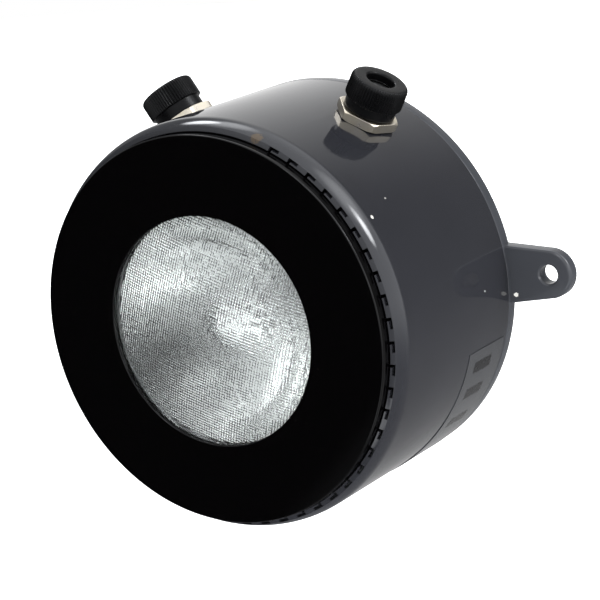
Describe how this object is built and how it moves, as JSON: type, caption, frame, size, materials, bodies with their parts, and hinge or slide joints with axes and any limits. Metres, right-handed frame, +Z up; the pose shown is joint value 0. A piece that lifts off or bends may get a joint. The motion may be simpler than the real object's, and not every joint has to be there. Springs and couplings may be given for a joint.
{
  "type": "wall drum lamp",
  "caption": "Wall-mounted drum lamp with a round clear lens in a black pull-off front ring, side fixing lugs and compression cable glands.",
  "frame": {"origin": "midway between the two lug holes, on the wall plane at the back of the base", "axes": "+X towards the right-hand lug seen from the front, +Y towards the wall, +Z up, so the light leaves along -Y"},
  "size_m": [0.253, 0.1165, 0.1997],
  "materials": {
    "drum_paint": "glossy slate-grey enamel",
    "base_paint": "glossy slate-grey enamel",
    "front_enamel": "glossy black enamel",
    "zinc_steel": "zinc plated",
    "nickel_brass": "nickel plated, slightly yellow",
    "black_nylon": "moulded, semi-matt",
    "clear_glass": "prismatic clear glass",
    "silvered_glass": "aluminised",
    "filament_wire": "tungsten",
    "terminal_brass": "plain",
    "phenolic": "brown phenolic",
    "seal_rubber": "matt",
    "live_lead": "brown sleeved",
    "neutral_lead": "blue sleeved",
    "label_foil": "painted over in the drum's enamel"
  },
  "bodies": {
    "housing": {"drum_shell": "drum_paint", "screw_blocks": "zinc_steel", "base_plate": "base_paint", "base_seal": "seal_rubber", "base_screws": "zinc_steel", "baffle_plate": "zinc_steel", "baffle_brackets": "zinc_steel", "baffle_screws": "zinc_steel", "retaining_ring": "zinc_steel", "retaining_screws": "zinc_steel", "lamp_lens": "clear_glass", "lamp_reflector": "silvered_glass", "lamp_gasket": "seal_rubber", "filament_posts": "filament_wire", "lamp_filament": "filament_wire", "lamp_terminals": "terminal_brass", "lamp_terminal_screws": "terminal_brass", "terminal_block": "phenolic", "terminal_barrels": "terminal_brass", "terminal_clamp_screws": "terminal_brass", "block_fixing_screws": "zinc_steel", "lamp_lead_live": "live_lead", "lamp_lead_neutral": "neutral_lead", "earth_stud": "terminal_brass", "earth_washer": "terminal_brass", "earth_nuts": "terminal_brass", "label_plate": "label_foil", "gland_body_left": "black_nylon", "gland_washer_left": "seal_rubber", "gland_locknut_left": "nickel_brass", "gland_seal_left": "seal_rubber", "gland_body_right": "black_nylon", "gland_washer_right": "seal_rubber", "gland_locknut_right": "nickel_brass", "gland_seal_right": "seal_rubber"},
    "front_ring": {"front_ring": "front_enamel", "front_gasket": "seal_rubber"},
    "slip_left": {"gland_slip_ring_left": "black_nylon"},
    "cap_left": {"gland_cap_left": "black_nylon"},
    "slip_right": {"gland_slip_ring_right": "black_nylon"},
    "cap_right": {"gland_cap_right": "black_nylon"}
  },
  "joints": [
    {"name": "front_ring_pull", "type": "slide", "parent": "housing", "child": "front_ring", "axis": [0, -1, 0], "range_m": [0, 0.025]},
    {"name": "cap_left_lift", "type": "slide", "parent": "housing", "child": "slip_left", "axis": [-0.521, 0, 0.8536], "range_m": [0, 0.00601]},
    {"name": "cap_left_turn", "type": "hinge", "parent": "slip_left", "child": "cap_left", "pos_m": [-0.0495, -0.0404, 0.08109], "axis": [-0.521, 0, 0.8536], "range_deg": [0, 1440]},
    {"name": "cap_right_lift", "type": "slide", "parent": "housing", "child": "slip_right", "axis": [0.521, 0, 0.8536], "range_m": [0, 0.00601]},
    {"name": "cap_right_turn", "type": "hinge", "parent": "slip_right", "child": "cap_right", "pos_m": [0.0495, -0.0404, 0.08109], "axis": [0.521, 0, 0.8536], "range_deg": [0, 1440]}
  ],
  "couplings": [
    {"joint": "cap_left_lift", "follows": "cap_left_turn", "m_per_rad": 0.00023873},
    {"joint": "cap_right_lift", "follows": "cap_right_turn", "m_per_rad": 0.00023873}
  ]
}
